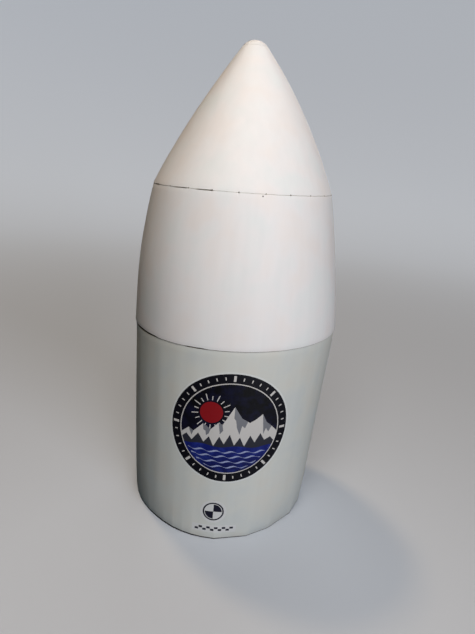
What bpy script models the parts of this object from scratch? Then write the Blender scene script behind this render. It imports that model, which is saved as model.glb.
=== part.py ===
"""Card model of a rocket payload fairing: a flared base and a cover that lifts off its collar.

Units are metres and +Z is up. The foot's underside is at z = 0 and the axis of every wall is the Z axis.
"""

import math

import bmesh
import bpy
from mathutils import Matrix

# Card and clearances
CARD = 0.0006
STRIP_CARD = 0.0005
BOARD = 0.0015
GLUE_GAP = 0.0003

# Base, from the foot to the open seam
FOOT_RADIUS = 0.0495
FOOT_SIDES = 22
FOOT_CORNER_AZIMUTH = math.radians(-86.6)
FOOT_BLEND_HEIGHT = 0.022
BASE_TOP_RADIUS = 0.0538
BASE_HEIGHT = 0.105

# Cover, measured up from its own rim
RIM_OVERHANG = 0.00035
MIDDLE_TOP_RADIUS = 0.0454
MIDDLE_HEIGHT = 0.0695
MIDDLE_BULGE = 0.0016
NOSE_HEIGHT = 0.0655
NOSE_BULGE = 0.0024
TIP_RADIUS = 0.0062
TIP_PLUG_RADIUS = 0.0047
TIP_PLUG_LENGTH = 0.006

# Inner strips and rings
COLLAR_BELOW = 0.012
COLLAR_ABOVE = 0.010
JOINING_HALF_HEIGHT = 0.009
JOINING_TABS = 24
FIRST_NOTCH_AZIMUTH = math.radians(-92.1)
NOTCH_WIDTH = 0.0028
NOTCH_ROOT = 0.0015
TAB_LENGTH = 0.0085
TAB_NOTCH_ROOT = 0.0012
TAB_TAPER = math.radians(2.2)
STRIP_WIDTH = 0.012
STRIP_END_SPACE = 0.003

# Turned steps, and points along each outline
ROUND_STEPS = 64
FOOT_STEPS = 3 * FOOT_SIDES
TIP_STEPS = 32
BASE_POINTS = 8
MIDDLE_POINTS = 8
NOSE_POINTS = 10
DOME_POINTS = 6
STRIP_POINTS = 6
FLAT_ANGLE = math.tau / FOOT_SIDES
BACK_AZIMUTH = math.radians(90)
MERGE = 0.00001


def clear_scene():
    """Remove whatever the scene holds."""
    for obj in list(bpy.data.objects):
        bpy.data.objects.remove(obj, do_unlink=True)


def new_collection(name):
    """Add a collection to the scene."""
    collection = bpy.data.collections.new(name)
    bpy.context.scene.collection.children.link(collection)
    return collection


def new_material(name, colour, roughness):
    """Make a plain material of one linear colour."""
    material = bpy.data.materials.new(name)
    material.use_nodes = True
    shader = material.node_tree.nodes["Principled BSDF"]
    shader.inputs["Base Color"].default_value = (*colour, 1.0)
    shader.inputs["Roughness"].default_value = roughness
    shader.inputs["Metallic"].default_value = 0.0
    return material


def place(name, data, collection, material, parent=None):
    """Put mesh or curve data in the scene as one named object."""
    obj = bpy.data.objects.new(name, data)
    collection.objects.link(obj)
    if material:
        data.materials.append(material)
    obj.parent = parent
    return obj


def shade_round(mesh):
    """Shade a turned mesh smooth, apart from its card edges."""
    mesh.shade_smooth()
    mesh.set_sharp_from_angle(angle=math.radians(40))


def arc(start, end, bulge, points):
    """Points (radius, z) along an arc from start to end that swells outwards by bulge at its middle."""
    chord_r = end[0] - start[0]
    chord_z = end[1] - start[1]
    half = math.hypot(chord_r, chord_z) / 2
    bend = (half * half + bulge * bulge) / (2 * bulge)
    half_angle = math.asin(half / bend)
    along = (chord_r / (2 * half), chord_z / (2 * half))
    outward = (along[1], -along[0])
    result = []
    for step in range(points + 1):
        angle = half_angle * (2 * step / points - 1)
        run = half + bend * math.sin(angle)
        rise = bend * (math.cos(angle) - math.cos(half_angle))
        result.append((
            start[0] + along[0] * run + outward[0] * rise,
            start[1] + along[1] * run + outward[1] * rise,
        ))
    return result


def slope_at_end(profile):
    """The angle that the last stretch of a profile makes with the vertical."""
    (r0, z0), (r1, z1) = profile[-2:]
    return math.atan2(r0 - r1, z1 - z0)


def radius_at(profile, z):
    """The radius of a profile at height z, between its points."""
    for (r0, z0), (r1, z1) in zip(profile, profile[1:]):
        if z0 <= z <= z1:
            return r0 + (r1 - r0) * (z - z0) / (z1 - z0)
    raise ValueError(f"height {z} is outside the profile")


def inner_profile(profile, low, high, depth, points):
    """A stretch of a wall's profile from low to high, set inwards by depth."""
    heights = [low + (high - low) * step / points for step in range(points + 1)]
    return [(radius_at(profile, z) - depth, z) for z in heights]


def profile_mesh(name, profile):
    """A wire mesh at +X that runs down the profile, from its top to its bottom."""
    points = [(r, 0.0, z) for r, z in reversed(profile)]
    edges = [(i, i + 1) for i in range(len(points) - 1)]
    mesh = bpy.data.meshes.new(name)
    mesh.from_pydata(points, edges, [])
    return mesh


def add_screw(obj, sweep=math.tau, steps=ROUND_STEPS):
    """Turn a profile about the Z axis."""
    screw = obj.modifiers.new("turn", "SCREW")
    screw.axis = "Z"
    screw.angle = sweep
    screw.steps = steps
    screw.render_steps = steps
    screw.use_smooth_shade = True
    screw.use_merge_vertices = sweep == math.tau
    screw.merge_threshold = MERGE


def add_wall(obj, thickness):
    """Give an open surface its card thickness, inwards."""
    wall = obj.modifiers.new("card", "SOLIDIFY")
    wall.thickness = thickness
    wall.offset = -1
    wall.use_even_offset = True


def turned_wall(name, profile, thickness, collection, material, parent=None):
    """A wall of card: an outer profile, turned and thickened inwards."""
    obj = place(name, profile_mesh(name, profile), collection, material, parent)
    add_screw(obj)
    add_wall(obj, thickness)
    return obj


def back_strip(name, wall_profile, low, high, collection, material, parent=None):
    """The glue strip inside a wall, along its upright seam at the back."""
    profile = inner_profile(wall_profile, low, high, CARD + GLUE_GAP, STRIP_POINTS)
    sweep = STRIP_WIDTH / radius_at(wall_profile, low)
    obj = place(name, profile_mesh(name, profile), collection, material, parent)
    add_screw(obj, sweep, 4)
    add_wall(obj, STRIP_CARD)
    obj.rotation_euler.z = BACK_AZIMUTH - sweep / 2
    return obj


def base_profile():
    """The lower wall's outer profile: a plain cone that widens upwards, with more points at the foot."""
    profile = []
    for step in range(BASE_POINTS + 1):
        z = BASE_HEIGHT * (step / BASE_POINTS) ** 1.5
        profile.append((FOOT_RADIUS + (BASE_TOP_RADIUS - FOOT_RADIUS) * z / BASE_HEIGHT, z))
    return profile


def flat_sided(angle):
    """How far out the foot's flats and corners lie, as a share of its mean radius."""
    half = FLAT_ANGLE / 2
    from_middle = (angle % FLAT_ANGLE) - half
    mean = math.sin(half) / half
    return math.cos(half) / math.cos(from_middle) / mean


def lower_wall(collection, material):
    """The flared lower wall. Its foot has flats, one to each tab, which fade out above the fold."""
    rough = place("lower_wall_round", profile_mesh("lower_wall_round", base_profile()), collection, None)
    add_screw(rough, steps=FOOT_STEPS)
    graph = bpy.context.evaluated_depsgraph_get()
    mesh = bpy.data.meshes.new_from_object(rough.evaluated_get(graph))
    bpy.data.objects.remove(rough, do_unlink=True)
    mesh.name = "lower_wall"
    for vertex in mesh.vertices:
        x, y, z = vertex.co
        share = max(0.0, 1 - z / FOOT_BLEND_HEIGHT) ** 2
        factor = 1 + share * (flat_sided(math.atan2(y, x)) - 1)
        vertex.co = (x * factor, y * factor, z)
    obj = place("lower_wall", mesh, collection, material)
    obj.rotation_euler.z = FOOT_CORNER_AZIMUTH
    add_wall(obj, CARD)
    return obj


def foot_corner_radius():
    """The corner radius of a flat-sided piece that fits inside the foot with the glue gap."""
    flat = FOOT_RADIUS * flat_sided(FLAT_ANGLE / 2)
    return (flat - CARD - GLUE_GAP) / math.cos(FLAT_ANGLE / 2)


def base_tabs(collection, material):
    """The ring of folded tabs under the base plate, which the model stands on."""
    outer = foot_corner_radius()
    inner = outer - TAB_LENGTH
    rim = []
    notches = []
    for side in range(FOOT_SIDES):
        corner = side * FLAT_ANGLE
        rim.append((outer, corner))
        notches.append((outer - TAB_NOTCH_ROOT, corner))
        notches.append((inner, corner + TAB_TAPER))
        notches.append((inner, corner + FLAT_ANGLE - TAB_TAPER))
    curve = bpy.data.curves.new("base_tabs", "CURVE")
    curve.dimensions = "2D"
    curve.fill_mode = "BOTH"
    curve.extrude = CARD / 2
    for outline in (rim, notches):
        spline = curve.splines.new("POLY")
        spline.points.add(len(outline) - 1)
        spline.use_cyclic_u = True
        for point, (radius, angle) in zip(spline.points, outline):
            point.co = (radius * math.cos(angle), radius * math.sin(angle), 0.0, 1.0)
    obj = place("base_tabs", curve, collection, material)
    obj.location.z = CARD / 2
    obj.rotation_euler.z = FOOT_CORNER_AZIMUTH
    return obj


def base_plate(collection, material):
    """The board disc on top of the tabs, cut to the foot's flats."""
    shape = bmesh.new()
    bmesh.ops.create_cone(
        shape, cap_ends=True, segments=FOOT_SIDES,
        radius1=foot_corner_radius(), radius2=foot_corner_radius(), depth=BOARD,
    )
    mesh = bpy.data.meshes.new("base_plate")
    shape.to_mesh(mesh)
    shape.free()
    obj = place("base_plate", mesh, collection, material)
    obj.location.z = CARD + GLUE_GAP + BOARD / 2
    obj.rotation_euler.z = FOOT_CORNER_AZIMUTH + BACK_AZIMUTH
    return obj


def neck_collar(collection, material):
    """The collar inside the lower wall's top, which stands up into the cover."""
    wall = base_profile()
    low = BASE_HEIGHT - COLLAR_BELOW
    profile = inner_profile(wall, low, BASE_HEIGHT, CARD + GLUE_GAP, 2)
    profile.append((profile[-1][0], BASE_HEIGHT + COLLAR_ABOVE))
    return turned_wall("neck_collar", profile, STRIP_CARD, collection, material)


def middle_profile():
    """The middle wall's outer profile, in the cover's heights."""
    rim = (BASE_TOP_RADIUS + RIM_OVERHANG, 0.0)
    return arc(rim, (MIDDLE_TOP_RADIUS, MIDDLE_HEIGHT), MIDDLE_BULGE, MIDDLE_POINTS)


def nose_profile():
    """The nose wall's outer profile, in the cover's heights."""
    bottom = MIDDLE_HEIGHT + GLUE_GAP
    return arc((MIDDLE_TOP_RADIUS, bottom), (TIP_RADIUS, bottom + NOSE_HEIGHT), NOSE_BULGE, NOSE_POINTS)


def nose_tip(nose, collection, material, parent):
    """The rounded tip: a dome that carries on the nose's slope, with a plug that sits in the nose."""
    slope = slope_at_end(nose)
    ball = TIP_RADIUS / math.cos(slope)
    centre = nose[-1][1] - ball * math.sin(slope)
    low = nose[-1][1] + GLUE_GAP
    first = math.asin((low - centre) / ball)
    dome = []
    for step in range(DOME_POINTS + 1):
        angle = first + (math.pi / 2 - first) * step / DOME_POINTS
        dome.append((ball * math.cos(angle), centre + ball * math.sin(angle)))
    dome[-1] = (0.0, centre + ball)
    plug = [(0.0, low - TIP_PLUG_LENGTH), (TIP_PLUG_RADIUS, low - TIP_PLUG_LENGTH), (TIP_PLUG_RADIUS, low)]
    obj = place("nose_tip", profile_mesh("nose_tip", plug + dome), collection, material, parent)
    add_screw(obj, steps=TIP_STEPS)
    return obj


def notch_cutter(centre_z, cutters, parent):
    """The V notches that part the joining ring's upper half into tabs."""
    shape = bmesh.new()
    depth = MIDDLE_TOP_RADIUS / 2
    top = centre_z + 2 * JOINING_HALF_HEIGHT
    for tab in range(JOINING_TABS):
        turn = Matrix.Rotation(FIRST_NOTCH_AZIMUTH + tab * math.tau / JOINING_TABS, 4, "Z")
        out = Matrix.Translation((MIDDLE_TOP_RADIUS, 0.0, top))
        # The prism lies along the radius, with one of its three edges at the bottom.
        lie = Matrix.Rotation(math.radians(90), 4, "Y")
        height = top - centre_z - NOTCH_ROOT
        size = Matrix.Diagonal((height, NOTCH_WIDTH, depth, 1.0))
        bmesh.ops.create_cone(
            shape, cap_ends=True, segments=3, radius1=1.0, radius2=1.0, depth=1.0,
            matrix=turn @ out @ lie @ size,
        )
    mesh = bpy.data.meshes.new("joining_notches")
    shape.to_mesh(mesh)
    shape.free()
    obj = place("joining_notches", mesh, cutters, None, parent)
    obj.hide_render = True
    obj.display_type = "WIRE"
    return obj


def joining_ring(middle, nose, collection, cutters, material, parent):
    """The ring inside the upper seam: plain below it, cut into tabs that follow the nose above it."""
    inset = CARD + GLUE_GAP
    profile = inner_profile(middle, MIDDLE_HEIGHT - JOINING_HALF_HEIGHT, MIDDLE_HEIGHT, inset, 3)
    profile += inner_profile(nose, nose[0][1] + GLUE_GAP, nose[0][1] + JOINING_HALF_HEIGHT, inset, 3)
    obj = turned_wall("joining_ring", profile, STRIP_CARD, collection, material, parent)
    cut = obj.modifiers.new("notches", "BOOLEAN")
    cut.operation = "DIFFERENCE"
    cut.solver = "EXACT"
    cut.object = notch_cutter(MIDDLE_HEIGHT, cutters, parent)
    return obj


def build():
    """Make the base, then the cover above it."""
    clear_scene()
    parts = new_collection("card_fairing_model")
    cutters = new_collection("cutters")
    white = new_material("white_card", (0.80, 0.79, 0.76), 0.55)
    strip = new_material("uncoated_card", (0.70, 0.67, 0.60), 0.8)
    board = new_material("grey_board", (0.42, 0.38, 0.32), 0.9)

    wall = lower_wall(parts, white)
    base_tabs(parts, white)
    base_plate(parts, board)
    neck_collar(parts, strip)
    back_strip(
        "lower_back_strip", base_profile(), FOOT_BLEND_HEIGHT + STRIP_END_SPACE,
        BASE_HEIGHT - COLLAR_BELOW - STRIP_END_SPACE / 2, parts, strip,
    )

    cover = place("cover", None, parts, None)
    cover.location.z = BASE_HEIGHT + GLUE_GAP
    middle = middle_profile()
    nose = nose_profile()
    middle_wall = turned_wall("middle_wall", middle, CARD, parts, white, cover)
    nose_wall = turned_wall("nose_wall", nose, CARD, parts, white, cover)
    tip = nose_tip(nose, parts, white, cover)
    ring = joining_ring(middle, nose, parts, cutters, strip, cover)
    back_strip(
        "middle_back_strip", middle, COLLAR_ABOVE + STRIP_END_SPACE,
        MIDDLE_HEIGHT - JOINING_HALF_HEIGHT - STRIP_END_SPACE / 2, parts, strip, cover,
    )
    back_strip(
        "nose_back_strip", nose, nose[0][1] + JOINING_HALF_HEIGHT + STRIP_END_SPACE / 2,
        nose[-1][1] - 3 * STRIP_END_SPACE, parts, strip, cover,
    )
    for obj in (wall, middle_wall, nose_wall, tip, ring):
        shade_round(obj.data)


build()
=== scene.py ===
"""Looks of a card model of a rocket payload fairing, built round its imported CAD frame.

Units are metres and +Z is up. The model stands on z = 0, and every wall is rolled about the Z axis.
Angles go round that axis from +X, so the badge's side is at -90 degrees and the glued seams at +90.
"""

import logging
import math
from collections.abc import Callable, Iterable, Sequence
from dataclasses import dataclass, fields
from enum import Enum
from functools import cached_property

import bmesh
import bpy
import numpy as np
from mathutils import Matrix, Vector
from mathutils.geometry import tessellate_polygon


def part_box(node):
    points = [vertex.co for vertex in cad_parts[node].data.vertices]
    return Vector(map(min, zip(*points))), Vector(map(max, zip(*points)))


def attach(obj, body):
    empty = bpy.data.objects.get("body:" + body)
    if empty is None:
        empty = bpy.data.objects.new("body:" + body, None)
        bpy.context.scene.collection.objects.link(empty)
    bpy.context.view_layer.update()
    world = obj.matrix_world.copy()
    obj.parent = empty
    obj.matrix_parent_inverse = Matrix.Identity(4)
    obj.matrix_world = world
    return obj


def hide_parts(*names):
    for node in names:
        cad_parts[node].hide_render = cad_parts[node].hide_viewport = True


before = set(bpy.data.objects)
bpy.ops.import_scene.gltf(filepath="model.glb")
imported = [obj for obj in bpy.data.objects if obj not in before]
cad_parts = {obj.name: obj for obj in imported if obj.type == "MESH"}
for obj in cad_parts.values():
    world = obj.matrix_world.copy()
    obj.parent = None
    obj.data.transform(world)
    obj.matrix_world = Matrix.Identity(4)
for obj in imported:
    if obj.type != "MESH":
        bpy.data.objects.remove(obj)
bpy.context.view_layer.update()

LOG = logging.getLogger("card_fairing")
MM = 0.001
BACK_SEAM = math.radians(90)

Array = np.ndarray
Mesh = bpy.types.Mesh
Material = bpy.types.Material
Piece = bpy.types.Object
Point = tuple[float, float]
Loop = list[Point]
# Stations in rising order over one turn, as (degrees round the axis, millimetres).
AngleTable = tuple[tuple[float, float], ...]
Surface = Callable[[Array, Array], Array]
Edge = Callable[[Array], Array]


class Body(Enum):
    """The frame's bodies."""

    BASE = "base"
    COVER = "cover"


class Slot(Enum):
    """The record's material slots."""

    PRINTED_CARD = "printed_card"
    WHITE_CARD = "white_card"
    PLAIN_CARD = "plain_card"
    GREY_BOARD = "grey_board"


# Finishes

# The Mix node's colour sockets go by number, because their names repeat.
COLOUR_A = 6
COLOUR_B = 7
MIXED = 2
BLEND = {"data_type": "RGBA"}
MULTIPLY = {"data_type": "RGBA", "blend_type": "MULTIPLY"}
SMOOTH = {"interpolation_type": "SMOOTHSTEP"}
# Nearly all of a noise's values lie in this span.
NOISE_SPAN = {"From Min": 0.3, "From Max": 0.7}


def linear(colour: str) -> tuple[float, float, float, float]:
    """Turn an sRGB hex colour to linear light.

    Args:
        colour: Six hex digits after a hash.

    Returns:
        Red, green, blue and an alpha of 1.
    """
    parts = [int(colour[i:i + 2], 16) / 255 for i in (1, 3, 5)]
    light = [c / 12.92 if c <= 0.04045 else ((c + 0.055) / 1.055) ** 2.4 for c in parts]
    return (light[0], light[1], light[2], 1.0)


def feed(node: bpy.types.Node, inputs: dict[str | int, object]) -> None:
    """Set a node's inputs, or link them.

    Args:
        node: The node.
        inputs: A value, or an output to link, for each input by name or number.
    """
    for key, value in inputs.items():
        if isinstance(value, bpy.types.NodeSocket):
            node.id_data.links.new(value, node.inputs[key])
        else:
            node.inputs[key].default_value = value


def add_node(
    tree: bpy.types.NodeTree,
    kind: str,
    settings: dict[str, object] | None = None,
    inputs: dict[str | int, object] | None = None,
) -> bpy.types.Node:
    """Add a node with its settings, and with each input set or linked.

    Args:
        tree: The tree that it goes in.
        kind: The node's type name.
        settings: Its properties.
        inputs: A value, or an output to link, for each input by name or number.

    Returns:
        The node.
    """
    node = tree.nodes.new(kind)
    for key, value in (settings or {}).items():
        setattr(node, key, value)
    feed(node, inputs or {})
    return node


def new_material(name: str) -> tuple[Material, bpy.types.NodeTree, bpy.types.Node]:
    """Make an empty material.

    Args:
        name: Its name.

    Returns:
        The material, its node tree, and its surface shader, linked to the output.
    """
    material = bpy.data.materials.new(name)
    material.use_nodes = True
    tree = material.node_tree
    tree.nodes.clear()
    shader = add_node(tree, "ShaderNodeBsdfPrincipled")
    add_node(tree, "ShaderNodeOutputMaterial", inputs={"Surface": shader.outputs["BSDF"]})
    return material, tree, shader


@dataclass(frozen=True)
class CoatedCard:
    """Coated model card, 0.6 mm, printed or left white and rolled by hand.

    The eye gets a soft satin white that is never quite even: faint warm and cool clouds, faint darker
    upright streaks that are painted shade of the creases left where the sheet was rolled over a table's
    edge, and a slight fibre grain.
    """

    name: str
    colour: str
    warm: str
    cool: str
    cloud_size: float = 16 * MM
    streak_size: float = 3.5 * MM
    streak_stretch: float = 25.0
    # Real card fibres are about 0.03 mm wide. They are drawn at 0.5 mm, the finest that shows.
    fibre_size: float = 0.5 * MM
    fibre_depth: float = 0.01 * MM
    roughness: float = 0.6
    specks: tuple[tuple[float, float, float], ...] = ()
    speck_size: float = 0.34 * MM
    speck_blur: float = 0.3
    speck_shade: float = 0.12
    cloud_stops: tuple[float, float, float] = (0.32, 0.5, 0.68)
    # How dark the upright streaks go, as painted shade of rolling creases.
    crease_painted_shade: float = 0.975
    gloss_change: float = 0.04

    def material(self) -> Material:
        """Build the card's node material.

        Returns:
            The material.
        """
        material, tree, shader = new_material(self.name)
        place = add_node(tree, "ShaderNodeTexCoord").outputs["Object"]
        clouds = add_node(
            tree, "ShaderNodeTexNoise",
            inputs={"Vector": place, "Scale": 1 / self.cloud_size, "Detail": 2.0, "Roughness": 0.5},
        )
        tone = add_node(tree, "ShaderNodeValToRGB", inputs={"Fac": clouds.outputs["Fac"]})
        stops = tone.color_ramp.elements
        stops.new(self.cloud_stops[1])
        colours = (self.warm, self.colour, self.cool)
        for stop, position, colour in zip(stops, self.cloud_stops, colours):
            stop.position = position
            stop.color = linear(colour)
        upright = add_node(
            tree, "ShaderNodeMapping", inputs={"Vector": place, "Scale": (1.0, 1.0, 1 / self.streak_stretch)},
        )
        streaks = add_node(
            tree, "ShaderNodeTexNoise",
            inputs={"Vector": upright.outputs["Vector"], "Scale": 1 / self.streak_size, "Detail": 3.0},
        )
        # Darker upright streaks: painted shade of the creases from rolling.
        shade = add_node(
            tree, "ShaderNodeMapRange",
            inputs={"Value": streaks.outputs["Fac"], **NOISE_SPAN, "To Min": self.crease_painted_shade},
        )
        colour = add_node(
            tree, "ShaderNodeMix", MULTIPLY,
            {"Factor": 1.0, COLOUR_A: tone.outputs["Color"], COLOUR_B: shade.outputs["Result"]},
        ).outputs[MIXED]
        for speck in self.specks:
            away = add_node(tree, "ShaderNodeVectorMath", {"operation": "DISTANCE"}, {0: place, 1: speck})
            mark = add_node(
                tree, "ShaderNodeMapRange", SMOOTH,
                {"Value": away.outputs["Value"], "From Min": self.speck_size * (1 - self.speck_blur),
                 "From Max": self.speck_size * (1 + self.speck_blur), "To Min": self.speck_shade},
            )
            colour = add_node(
                tree, "ShaderNodeMix", MULTIPLY,
                {"Factor": 1.0, COLOUR_A: colour, COLOUR_B: mark.outputs["Result"]},
            ).outputs[MIXED]
        gloss = add_node(
            tree, "ShaderNodeMapRange",
            inputs={"Value": clouds.outputs["Fac"], **NOISE_SPAN,
                    "To Min": self.roughness - self.gloss_change,
                    "To Max": self.roughness + self.gloss_change},
        )
        fibre = add_node(
            tree, "ShaderNodeTexNoise",
            inputs={"Vector": place, "Scale": 1 / self.fibre_size, "Detail": 3.0, "Roughness": 0.6},
        )
        grain = add_node(
            tree, "ShaderNodeBump",
            inputs={"Height": fibre.outputs["Fac"], "Strength": 0.25, "Distance": self.fibre_depth},
        )
        feed(shader, {
            "Base Color": colour, "Roughness": gloss.outputs["Result"], "Normal": grain.outputs["Normal"],
            "IOR": 1.5, "Specular IOR Level": 0.6,
        })
        return material


@dataclass(frozen=True)
class PlainCard:
    """Uncoated card: the sheets' backs, the strips, rings and collar, and every cut edge.

    The eye gets a dull, warmer white with cloudy fibre and small darker flecks, and no shine.
    """

    name: str
    colour: str
    fleck: str
    cloud_size: float = 6 * MM
    # Real flecks are about 0.1 mm. They are drawn at 0.5 mm, the finest that shows.
    fleck_size: float = 0.5 * MM
    fleck_depth: float = 0.03 * MM
    fleck_span: tuple[float, float] = (0.52, 0.78)
    fleck_amount: float = 0.5
    cloud_shade: float = 0.93
    roughness: float = 0.88

    def material(self) -> Material:
        """Build the card's node material.

        Returns:
            The material.
        """
        material, tree, shader = new_material(self.name)
        place = add_node(tree, "ShaderNodeTexCoord").outputs["Object"]
        clouds = add_node(
            tree, "ShaderNodeTexNoise",
            inputs={"Vector": place, "Scale": 1 / self.cloud_size, "Detail": 4.0, "Roughness": 0.6},
        )
        flecks = add_node(
            tree, "ShaderNodeTexNoise",
            inputs={"Vector": place, "Scale": 1 / self.fleck_size, "Detail": 2.0, "Roughness": 0.7},
        )
        amount = add_node(
            tree, "ShaderNodeMapRange",
            inputs={"Value": flecks.outputs["Fac"], "From Min": self.fleck_span[0],
                    "From Max": self.fleck_span[1], "To Max": self.fleck_amount},
        )
        cloud = add_node(
            tree, "ShaderNodeMapRange",
            inputs={"Value": clouds.outputs["Fac"], **NOISE_SPAN, "To Min": self.cloud_shade},
        )
        flecked = add_node(
            tree, "ShaderNodeMix", BLEND,
            {"Factor": amount.outputs["Result"], COLOUR_A: linear(self.colour), COLOUR_B: linear(self.fleck)},
        )
        colour = add_node(
            tree, "ShaderNodeMix", MULTIPLY,
            {"Factor": 1.0, COLOUR_A: flecked.outputs[MIXED], COLOUR_B: cloud.outputs["Result"]},
        )
        grain = add_node(
            tree, "ShaderNodeBump",
            inputs={"Height": flecks.outputs["Fac"], "Strength": 0.4, "Distance": self.fleck_depth},
        )
        feed(shader, {
            "Base Color": colour.outputs[MIXED], "Roughness": self.roughness,
            "Normal": grain.outputs["Normal"], "Specular IOR Level": 0.3,
        })
        return material


@dataclass(frozen=True)
class TonerPrint:
    """Laser toner on coated card.

    The eye gets a flat ink colour with a low, slightly broken sheen. The colour may fade to another
    one below it, between two heights, and may have soft patches of a third.
    """

    name: str
    colour: str
    below: str = ""
    fade: tuple[float, float] = (0.0, 0.0)
    patch: str = ""
    patch_amount: float = 0.0
    patch_size: float = 5 * MM
    patch_span: tuple[float, float] = (0.45, 0.7)
    # Toner grain is about 0.1 mm. It is drawn at 0.4 mm, the finest that shows.
    grain_size: float = 0.4 * MM
    roughness: float = 0.42
    gloss_change: tuple[float, float] = (-0.05, 0.08)

    def material(self) -> Material:
        """Build the ink's node material.

        Returns:
            The material.
        """
        material, tree, shader = new_material(self.name)
        place = add_node(tree, "ShaderNodeTexCoord").outputs["Object"]
        colour = linear(self.colour)
        if self.below:
            height = add_node(tree, "ShaderNodeSeparateXYZ", inputs={"Vector": place}).outputs["Z"]
            share = add_node(
                tree, "ShaderNodeMapRange",
                inputs={"Value": height, "From Min": self.fade[0], "From Max": self.fade[1]},
            )
            colour = add_node(
                tree, "ShaderNodeMix", BLEND,
                {"Factor": share.outputs["Result"], COLOUR_A: linear(self.below), COLOUR_B: colour},
            ).outputs[MIXED]
        if self.patch:
            patches = add_node(
                tree, "ShaderNodeTexNoise",
                inputs={"Vector": place, "Scale": 1 / self.patch_size, "Detail": 4.0, "Roughness": 0.6},
            )
            share = add_node(
                tree, "ShaderNodeMapRange",
                inputs={"Value": patches.outputs["Fac"], "From Min": self.patch_span[0],
                        "From Max": self.patch_span[1], "To Max": self.patch_amount},
            )
            colour = add_node(
                tree, "ShaderNodeMix", BLEND,
                {"Factor": share.outputs["Result"], COLOUR_A: colour, COLOUR_B: linear(self.patch)},
            ).outputs[MIXED]
        grain = add_node(
            tree, "ShaderNodeTexNoise",
            inputs={"Vector": place, "Scale": 1 / self.grain_size, "Detail": 1.0},
        )
        gloss = add_node(
            tree, "ShaderNodeMapRange",
            inputs={"Value": grain.outputs["Fac"], **NOISE_SPAN,
                    "To Min": self.roughness + self.gloss_change[0],
                    "To Max": self.roughness + self.gloss_change[1]},
        )
        feed(shader, {"Base Color": colour, "Roughness": gloss.outputs["Result"], "IOR": 1.5})
        return material


@dataclass(frozen=True)
class Finishes:
    """Every finish of bare or printed card on the model, each built once."""

    white_card: CoatedCard
    grey_print: CoatedCard
    card_back: PlainCard
    cut_edge: PlainCard
    strip_card: PlainCard
    collar_card: PlainCard
    grey_board: PlainCard
    foot_painted_shade: PlainCard

    def built(self) -> dict[str, Material]:
        """Build the materials, by field name."""
        return {part.name: getattr(self, part.name).material() for part in fields(self)}


FINISHES = Finishes(
    # Bright white card, a touch warm where the light is low, with one dark speck under the upper seam.
    white_card=CoatedCard(
        "coated_card_white", "#f3f0ec", "#f4eee8", "#eff0ec",
        specks=((8.45 * MM, -44.7 * MM, 174.1 * MM),),
    ),
    # The lower wall's sheet carries an even light grey print, cooler than bare card.
    grey_print=CoatedCard("coated_card_grey_print", "#d8d9d0", "#dad8cd", "#d3d6d0"),
    # The sheets' backs are uncoated, so they look yellower and dull.
    card_back=PlainCard("uncoated_card_back", "#d9d4c6", "#b7ae9b"),
    # A cut edge shows the card's darker core.
    cut_edge=PlainCard("cut_card_edge", "#b9b0a0", "#8c8273"),
    # The strips are cut from plainer card than the walls, and look a little browner.
    strip_card=PlainCard("uncoated_strip_card", "#d2cbb9", "#ab9f88"),
    # The collar's card is grey-brown board, coloured darker than such board: painted shade for the dark
    # inside of the lower seam.
    collar_card=PlainCard("collar_board_painted_shade", "#574f43", "#3e382f"),
    # Pressed board is made of mixed waste fibre, which gives a flat, mottled grey.
    grey_board=PlainCard("pressed_grey_board", "#9c9486", "#6d6558", cloud_size=4 * MM, roughness=0.93),
    # The fold band under the wall's foot is near black: painted shade for the dark line where the wall meets
    # the floor.
    foot_painted_shade=PlainCard("foot_band_painted_shade", "#2b2b2d", "#1c1c1e"),
)


# Shapes of rolled card


@dataclass(frozen=True)
class Outline:
    """A wall's outer outline: its radius at each of some heights."""

    heights: tuple[float, ...]
    radii: tuple[float, ...]
    bends: bool = False

    @classmethod
    def of_node(cls, node: str, bends: bool = False) -> "Outline":
        """Read the outline of a turned CAD solid off its outward faces.

        Args:
            node: The CAD node.
            bends: Whether the outline is one smooth bend, or straight between its points.

        Returns:
            The outline.
        """
        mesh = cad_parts[node].data
        least_outward = 0.5
        rows: dict[float, float] = {}
        for face in mesh.polygons:
            outward = Vector((face.center.x, face.center.y, 0.0)).normalized()
            if face.normal.dot(outward) < least_outward:
                continue
            for index in face.vertices:
                place = mesh.vertices[index].co
                height = round(place.z, 5)
                rows[height] = max(rows.get(height, 0.0), math.hypot(place.x, place.y))
        heights = tuple(sorted(rows))
        return cls(heights, tuple(rows[z] for z in heights), bends)

    @cached_property
    def bend(self) -> np.polynomial.Polynomial:
        """The smooth curve, of fourth degree, through the points."""
        return np.polynomial.Polynomial.fit(self.heights, self.radii, 4)

    def radius(self, height: Array) -> Array:
        """The radius at some heights."""
        return self.bend(height) if self.bends else np.interp(height, self.heights, self.radii)

    def slope(self, height: Array) -> Array:
        """The angle by which the outline leans in at some heights.

        Args:
            height: Heights.

        Returns:
            Angles from the upright, in radians.
        """
        step = 0.2 * MM
        low = np.maximum(height - step, self.heights[0])
        high = np.minimum(height + step, self.heights[-1])
        low = np.minimum(low, high - step)
        return np.arctan2(self.radius(low) - self.radius(high), high - low)


@dataclass(frozen=True)
class Unevenness:
    """How far hand-rolled card wanders from its true round, as a few waves round the axis."""

    depth: float
    waves: tuple[int, ...]
    twist: float = 4.0
    spread: float = 1.7

    def at(self, angle: Array, height: Array) -> Array:
        """The offset outwards.

        Args:
            angle: Angles round the axis.
            height: Heights.

        Returns:
            Offsets in metres.
        """
        total = np.zeros(np.broadcast(angle, height).shape)
        for number, count in enumerate(self.waves):
            phase = self.spread * number * number + self.twist * height
            total = total + np.sin(count * angle + phase) / len(self.waves)
        return self.depth * total


def from_back(angle: Array) -> Array:
    """Count angles once round from the back seam."""
    return BACK_SEAM + (angle - BACK_SEAM) % math.tau


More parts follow.
